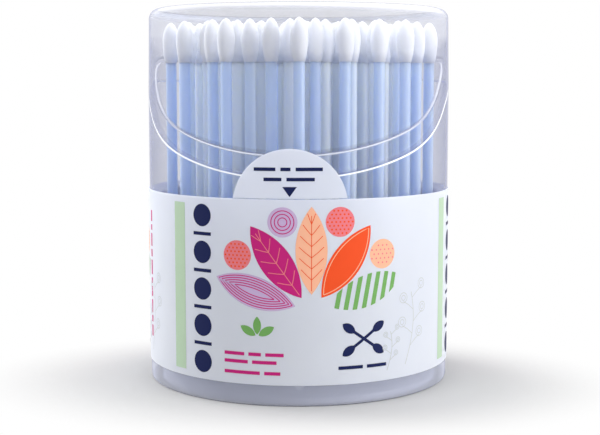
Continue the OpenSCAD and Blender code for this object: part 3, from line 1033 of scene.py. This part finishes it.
def label_film():
    """White satin film, thin enough to glow a little where light comes through it."""
    material, tree, skin = new_material("white_label_film")
    mottle = noise(tree, 90, 2)
    tree.links.new(tinted(tree, mottle, *FILM_TINTS), skin.inputs["Base Color"])
    tree.links.new(remapped(tree, mottle, 0.34, 0.42), skin.inputs["Roughness"])
    tree.links.new(bumped(tree, noise(tree, 350, 2), 0.05, 0.02), skin.inputs["Normal"])
    softly_lit(skin, 0.6, (1.2, 1.2, 1.4))
    return material


def ink_material(name, colour):
    """Flat ink, a little uneven, under the film's satin."""
    material, tree, skin = new_material("ink_" + name)
    mottle = noise(tree, 420, 3)
    dark = tuple(0.93 * c for c in colour)
    tree.links.new(tinted(tree, mottle, dark, colour), skin.inputs["Base Color"])
    tree.links.new(remapped(tree, mottle, 0.44, 0.54), skin.inputs["Roughness"])
    skin.inputs["Specular IOR Level"].default_value = 0.15
    return material


def stick_plastic():
    """Pale blue drawn plastic, with faint lines along its length; the sticks deep in the bundle are
    painted paler, as painted light against the shade there.
    """
    material, tree, skin = new_material("pale_blue_stick")
    lines = noise(tree, 900, 2, (1, 1, 0.02))
    # Painted light that grows towards the middle of the bundle
    painted_light_share = ramp(tree, distance(tree, (1, 1, 0)), 25.5 * MM, 23.0 * MM, "LINEAR")
    tint = layered(tree, tinted(tree, lines, *STICK_TINTS), painted_light_share, PAINTED_LIGHT_STICK_TINT)
    tree.links.new(tint, skin.inputs["Base Color"])
    tree.links.new(remapped(tree, lines, 0.28, 0.40), skin.inputs["Roughness"])
    softly_lit(skin, 0.9, (3.2, 3.4, 4.5))
    return material


def cotton():
    """Wound cotton: matt, softly lit through, with fine fibres round the tip."""
    material, tree, skin = new_material("wound_cotton")
    tuft = noise(tree, 500, 4)
    tree.links.new(tinted(tree, tuft, *COTTON_TINTS), skin.inputs["Base Color"])
    skin.inputs["Roughness"].default_value = 0.9
    skin.inputs["Sheen Weight"].default_value = 0.3
    skin.inputs["Sheen Roughness"].default_value = 0.5
    fibres = noise(tree, 1600, 3, (1, 1, 2.6))
    tree.links.new(bumped(tree, fibres, 0.35, 0.12), skin.inputs["Normal"])
    softly_lit(skin, 0.4, (0.8, 0.8, 0.9))
    return material


# Swabs by geometry nodes


class Tree:
    """A geometry node tree with named inputs."""

    def __init__(self, name):
        self.group = bpy.data.node_groups.new(name, "GeometryNodeTree")
        self.group.interface.new_socket("Geometry", in_out="OUTPUT", socket_type="NodeSocketGeometry")
        self.inlet = self.group.nodes.new("NodeGroupInput")
        self.outlet = self.group.nodes.new("NodeGroupOutput")
        self.sizes = {}

    def size(self, name, value, kind="Float"):
        """A named input of the tree."""
        socket = self.group.interface.new_socket(name, in_out="INPUT", socket_type="NodeSocket" + kind)
        self.sizes[socket.identifier] = value
        return self.inlet.outputs[name]

    def add(self, kind, inputs=None, **settings):
        """A node, with each input linked to a socket or set to a value."""
        node = self.group.nodes.new(kind)
        for key, value in settings.items():
            setattr(node, key, value)
        for key, value in (inputs or {}).items():
            if isinstance(value, bpy.types.NodeSocket):
                self.group.links.new(value, node.inputs[key])
            else:
                node.inputs[key].default_value = value
        return node

    def maths(self, operation, a, b=0.0):
        node = self.add("ShaderNodeMath", {0: a, 1: b}, operation=operation)
        return node.outputs[0]

    def ended(self, geometry, material, name):
        """Realizes the instances, gives them their material and returns the result as a plain mesh."""
        real = self.add("GeometryNodeRealizeInstances", {0: geometry}).outputs[0]
        done = self.add("GeometryNodeSetMaterial", {"Geometry": real, "Material": material}).outputs[0]
        self.group.links.new(done, self.outlet.inputs[0])
        holder = bpy.data.objects.new(name, bpy.data.meshes.new(name))
        bpy.context.scene.collection.objects.link(holder)
        modifier = holder.modifiers.new(name, "NODES")
        modifier.node_group = self.group
        for identifier, value in self.sizes.items():
            modifier[identifier] = value
        shaped = holder.evaluated_get(bpy.context.evaluated_depsgraph_get())
        mesh = bpy.data.meshes.new_from_object(shaped)
        holder.modifiers.remove(modifier)
        bpy.data.objects.remove(holder)
        return mesh


def sunflower(tree, foot):
    """One point per swab, set out as the seeds of a sunflower."""
    count = tree.size("Swabs", SWABS, "Int")
    pitch = tree.size("Pitch", SWAB_PITCH)
    start = tree.size("Turn", SWAB_TURN)
    step = tree.size("Golden angle", GOLDEN_ANGLE)
    index = tree.add("GeometryNodeInputIndex").outputs[0]
    reach = tree.maths("MULTIPLY", pitch, tree.maths("SQRT", tree.maths("ADD", index, 0.5)))
    angle = tree.maths("SUBTRACT", start, tree.maths("MULTIPLY", index, step))
    x = tree.maths("MULTIPLY", reach, tree.maths("COSINE", angle))
    y = tree.maths("MULTIPLY", reach, tree.maths("SINE", angle))
    place = tree.add("ShaderNodeCombineXYZ", {0: x, 1: y, 2: foot}).outputs[0]
    return tree.add("GeometryNodePoints", {"Count": count, "Position": place}).outputs[0]


def stick_bundle(material):
    """A plain round stick for each swab."""
    tree = Tree("stick_bundle")
    length = tree.size("Length", SWAB_LEN - 2 * TIP_OVER)
    radius = tree.size("Radius", STICK_D / 2)
    points = sunflower(tree, SWAB_FOOT + SWAB_LEN / 2)
    sizes = {"Vertices": 20, "Radius": radius, "Depth": length}
    stick = tree.add("GeometryNodeMeshCylinder", sizes).outputs[0]
    sticks = tree.add("GeometryNodeInstanceOnPoints", {"Points": points, "Instance": stick}).outputs[0]
    return tree.ended(sticks, material, "stick_bundle")


def tip_bundle(name, foot, upside_down, material):
    """Cotton tips: a tube is drawn to the tip's outline, then made uneven tuft by tuft."""
    tree = Tree(name)
    length = tree.size("Length", TIP_LEN)
    tuft = tree.size("Tuft height", TUFT_H)
    points = sunflower(tree, foot)
    sizes = {"Vertices": 14, "Side Segments": 7, "Radius": 1.0, "Depth": length}
    tube = tree.add("GeometryNodeMeshCylinder", sizes).outputs[0]
    place = tree.add("ShaderNodeSeparateXYZ", {0: tree.add("GeometryNodeInputPosition").outputs[0]})
    even = tree.maths("ADD", tree.maths("DIVIDE", place.outputs[2], length), 0.5)
    share = tree.maths("POWER", even, TIP_CROWDING)
    outline = tree.add("ShaderNodeFloatCurve", {"Value": share})
    curve = outline.mapping.curves[0]
    steps = 16
    curve.points[0].location = (0, 0.02)
    curve.points[1].location = (1, tip_radius(1) / TIP_D)
    for i in range(1, steps):
        curve.points.new(i / steps, tip_radius(i / steps) / TIP_D)
    outline.mapping.update()
    reach = tree.maths("MULTIPLY", outline.outputs[0], TIP_D)
    shaped = tree.add(
        "ShaderNodeCombineXYZ",
        {
            0: tree.maths("MULTIPLY", place.outputs[0], reach),
            1: tree.maths("MULTIPLY", place.outputs[1], reach),
            2: tree.maths("MULTIPLY", share, length),
        },
    ).outputs[0]
    tip = tree.add("GeometryNodeSetPosition", {"Geometry": tube, "Position": shaped}).outputs[0]
    tip = tree.add(
        "GeometryNodeInstanceOnPoints",
        {"Points": points, "Instance": tip, "Rotation": (math.pi if upside_down else 0, 0, 0)},
    ).outputs[0]
    real = tree.add("GeometryNodeRealizeInstances", {0: tip}).outputs[0]
    spot = tree.add("GeometryNodeInputPosition").outputs[0]
    grain = {"Vector": spot, "Scale": 0.55, "Detail": 2.0}
    lumps = tree.add("ShaderNodeTexNoise", grain).outputs["Fac"]
    rise = tree.maths("MULTIPLY", tree.maths("SUBTRACT", lumps, 0.5), tuft)
    normal = tree.add("GeometryNodeInputNormal").outputs[0]
    push = tree.add("ShaderNodeVectorMath", {0: normal, "Scale": rise}, operation="SCALE").outputs[0]
    uneven = tree.add("GeometryNodeSetPosition", {"Geometry": real, "Offset": push}).outputs[0]
    return tree.ended(uneven, material, name)


# Studio


def studio_floor():
    """A pale floor that keeps the soft shadow round the tub and fades to white beyond it."""
    bm = bmesh.new()
    bmesh.ops.create_circle(bm, cap_ends=True, segments=96, radius=FLOOR_R)
    mesh = bpy.data.meshes.new("studio_floor")
    bm.to_mesh(mesh)
    bm.free()
    floor = bpy.data.objects.new("studio_floor", mesh)
    bpy.context.scene.collection.objects.link(floor)
    material, tree, skin = new_material("studio_floor")
    mesh.materials.append(material)
    skin.inputs["Base Color"].default_value = FLOOR_GREY
    skin.inputs["Roughness"].default_value = 0.8
    skin.inputs["Specular IOR Level"].default_value = 0.1
    glow = tree.nodes.new("ShaderNodeEmission")
    away = ramp(tree, distance(tree, FADE_STRETCH, FADE_SHIFT), FADE_START, FADE_END)
    share = maths(tree, "MULTIPLY", straight_rays(tree), away)
    blend = tree.nodes.new("ShaderNodeMixShader")
    tree.links.new(share, blend.inputs["Fac"])
    tree.links.new(skin.outputs["BSDF"], blend.inputs[1])
    tree.links.new(glow.outputs["Emission"], blend.inputs[2])
    tree.links.new(blend.outputs["Shader"], tree.nodes["Material Output"].inputs["Surface"])


def surround():
    """A white surround that lights the tub a little less than it shows."""
    world = bpy.data.worlds.new("studio")
    bpy.context.scene.world = world
    world.use_nodes = True
    tree = world.node_tree
    ambient = tree.nodes["Background"]
    ambient.inputs["Color"].default_value = (1.0, 1.0, 1.0, 1)
    ambient.inputs["Strength"].default_value = 0.60
    white = tree.nodes.new("ShaderNodeBackground")
    white.inputs["Color"].default_value = (1, 1, 1, 1)
    mix = tree.nodes.new("ShaderNodeMixShader")
    tree.links.new(straight_rays(tree), mix.inputs["Fac"])
    tree.links.new(ambient.outputs[0], mix.inputs[1])
    tree.links.new(white.outputs[0], mix.inputs[2])
    tree.links.new(mix.outputs[0], tree.nodes["World Output"].inputs["Surface"])


def straight_rays(tree):
    """1 for rays that reach the camera straight, mirrored or through the plastic."""
    seen = tree.nodes.new("ShaderNodeLightPath")
    mirrored = maths(tree, "MAXIMUM", seen.outputs["Is Camera Ray"], seen.outputs["Is Glossy Ray"])
    return maths(tree, "MAXIMUM", mirrored, seen.outputs["Is Transmission Ray"])


def lamp(name, place, power, size):
    """A square lamp that is turned towards the tub's middle."""
    data = bpy.data.lights.new(name, "AREA")
    data.energy = power
    data.size = size
    holder = bpy.data.objects.new(name, data)
    holder.location = place
    aim = LAMP_AIM - Vector(place)
    holder.rotation_euler = aim.to_track_quat("-Z", "Y").to_euler()
    bpy.context.scene.collection.objects.link(holder)
    return holder


def camera():
    """The camera, in front of the tub and a little to its right, looking slightly down."""
    data = bpy.data.cameras.new("camera")
    data.sensor_width = 36
    data.lens = LENS
    data.clip_start = 0.01
    holder = bpy.data.objects.new("camera", data)
    holder.location = CAMERA_PLACE
    holder.rotation_euler = (CAMERA_TILT, 0, CAMERA_TURN)
    bpy.context.scene.collection.objects.link(holder)
    bpy.context.scene.camera = holder


# The pieces

plastic = clear_plastic()
film = label_film()
inks = {name: ink_material(name, colour) for name, colour in INKS.items()}
tub = finished("tub_moulding", tub_mesh(), plastic, "tub", ["tub"])
lid = finished("lid_moulding", lid_mesh(), plastic, "lid", ["lid"])
for moulding in (tub, lid):
    moulding.visible_shadow = False
finished("label_film", label_mesh(), film, "tub", ["label_band"])
finished("peel_tab", tab_mesh(), film, "lid", ["label_tab"])
for name, ink in panel_inks().items():
    mesh = ink.mesh("ink_" + name, ALL_ROUND)
    finished("ink_" + name, mesh, inks[name], "tub", [INK_NODES[name]])
branches = faint_ink().mesh("ink_faint", ALL_ROUND)
finished("ink_faint", branches, ink_material("faint", FAINT_INK), "tub")
margin = margin_ink().mesh("ink_margin", FRONT)
finished("ink_margin", margin, inks["magenta"], "tub")
marks = tab_ink().mesh("tab_ink", FRONT)
finished("tab_ink", marks, inks["navy"], "lid", ["print_tab_marks"])

zones = ("inner", "middle", "outer")
white = cotton()
blue = stick_plastic()
finished("sticks", stick_bundle(blue), blue, "tub", ["sticks_" + z for z in zones])
top = tip_bundle("top_tips", SWAB_FOOT + SWAB_LEN, True, white)
finished("top_tips", top, white, "tub", ["top_tips_" + z for z in zones], 80)
bottom = tip_bundle("bottom_tips", SWAB_FOOT, False, white)
finished("bottom_tips", bottom, white, "tub", ["bottom_tips_" + z for z in zones], 80)

studio_floor()
surround()
lamp("lamp_right", (0.58, -0.155, 0.22), power=2.5, size=0.4)
behind = lamp("lamp_left", (-0.52, 0.30, 0.22), power=3.8, size=0.4)
behind.visible_glossy = False
lamp("lamp_above", (0.0, -0.05, 0.80), power=6.5, size=0.8)
camera()
bpy.context.scene.view_settings.view_transform = "Standard"
bpy.context.scene.cycles.transparent_max_bounces = 32
